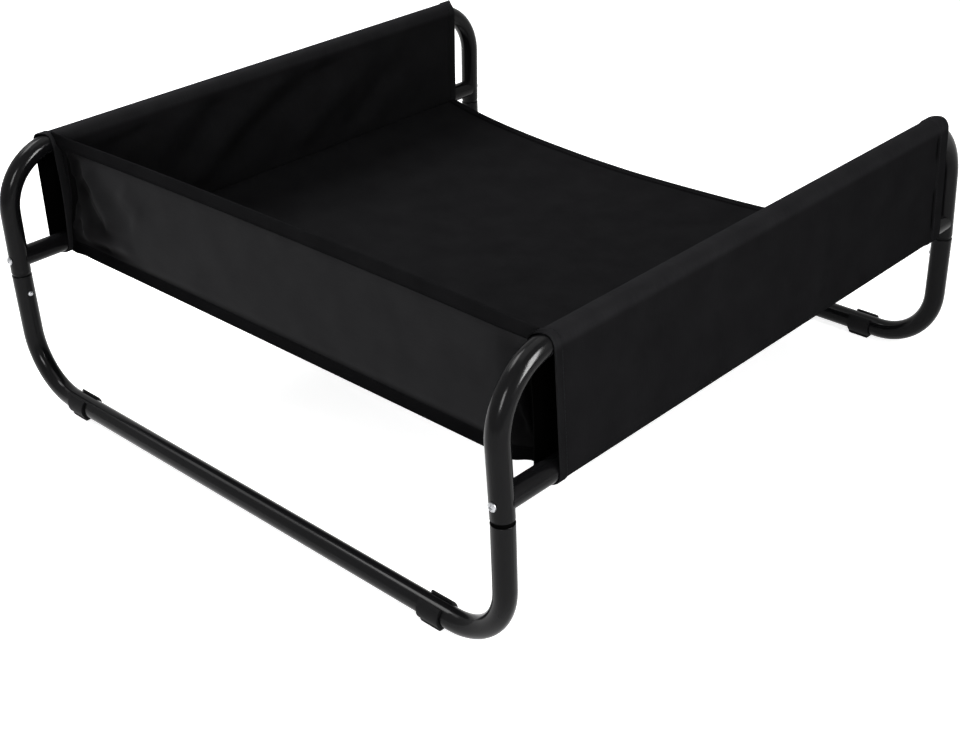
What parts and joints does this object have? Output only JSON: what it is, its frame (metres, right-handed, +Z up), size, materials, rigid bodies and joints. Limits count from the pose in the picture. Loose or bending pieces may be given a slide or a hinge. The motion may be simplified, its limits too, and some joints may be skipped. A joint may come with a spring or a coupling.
{
  "type": "walled pet cot",
  "caption": "Raised cloth pet bed on a bent steel tube frame, with cloth side walls and back wall, an open front, snap button joints and clip-on feet.",
  "frame": {"origin": "on the floor under the middle of the cot", "axes": "+X to the right side, +Y to the open front, -Y to the back wall, +Z up"},
  "size_m": [0.8512, 0.8462, 0.3399],
  "materials": {
    "black_powder_coated_steel": "satin black powder coat on steel tube",
    "black_polyester_cloth": "black woven polyester, coated on the back",
    "black_foot_plastic": "moulded matte black plastic",
    "nylon_plug": "moulded nylon",
    "zinc_plated_steel": "bright zinc plate",
    "spring_steel": "oiled spring strip"
  },
  "bodies": {
    "root": {"back_left_foot": "black_foot_plastic", "back_left_snap_spring": "spring_steel", "back_leg_frame": "black_powder_coated_steel", "back_right_foot": "black_foot_plastic", "back_right_snap_spring": "spring_steel", "back_wall": "black_polyester_cloth", "bed_deck": "black_polyester_cloth", "front_left_foot": "black_foot_plastic", "front_left_snap_spring": "spring_steel", "front_leg_frame": "black_powder_coated_steel", "front_right_foot": "black_foot_plastic", "front_right_snap_spring": "spring_steel", "left_rail": "black_powder_coated_steel", "left_rail_plugs": "nylon_plug", "left_side_frame": "black_powder_coated_steel", "left_sleeve": "black_polyester_cloth", "rail_screws": "zinc_plated_steel", "right_rail": "black_powder_coated_steel", "right_rail_plugs": "nylon_plug", "right_side_frame": "black_powder_coated_steel", "right_sleeve": "black_polyester_cloth"},
    "back_left_snap_button": {"back_left_snap_button": "zinc_plated_steel"},
    "back_right_snap_button": {"back_right_snap_button": "zinc_plated_steel"},
    "front_left_snap_button": {"front_left_snap_button": "zinc_plated_steel"},
    "front_right_snap_button": {"front_right_snap_button": "zinc_plated_steel"}
  },
  "joints": [
    {"name": "back_left_button_press", "type": "slide", "parent": "root", "child": "back_left_snap_button", "axis": [-1, 0, 0], "range_m": [0, 0.004], "stiffness_N_per_m": 2500, "springref_m": -0.002, "deforming": ["back_left_snap_spring"]},
    {"name": "back_right_button_press", "type": "slide", "parent": "root", "child": "back_right_snap_button", "axis": [1, 0, 0], "range_m": [0, 0.004], "stiffness_N_per_m": 2500, "springref_m": -0.002, "deforming": ["back_right_snap_spring"]},
    {"name": "front_left_button_press", "type": "slide", "parent": "root", "child": "front_left_snap_button", "axis": [-1, 0, 0], "range_m": [0, 0.004], "stiffness_N_per_m": 2500, "springref_m": -0.002, "deforming": ["front_left_snap_spring"]},
    {"name": "front_right_button_press", "type": "slide", "parent": "root", "child": "front_right_snap_button", "axis": [1, 0, 0], "range_m": [0, 0.004], "stiffness_N_per_m": 2500, "springref_m": -0.002, "deforming": ["front_right_snap_spring"]}
  ]
}
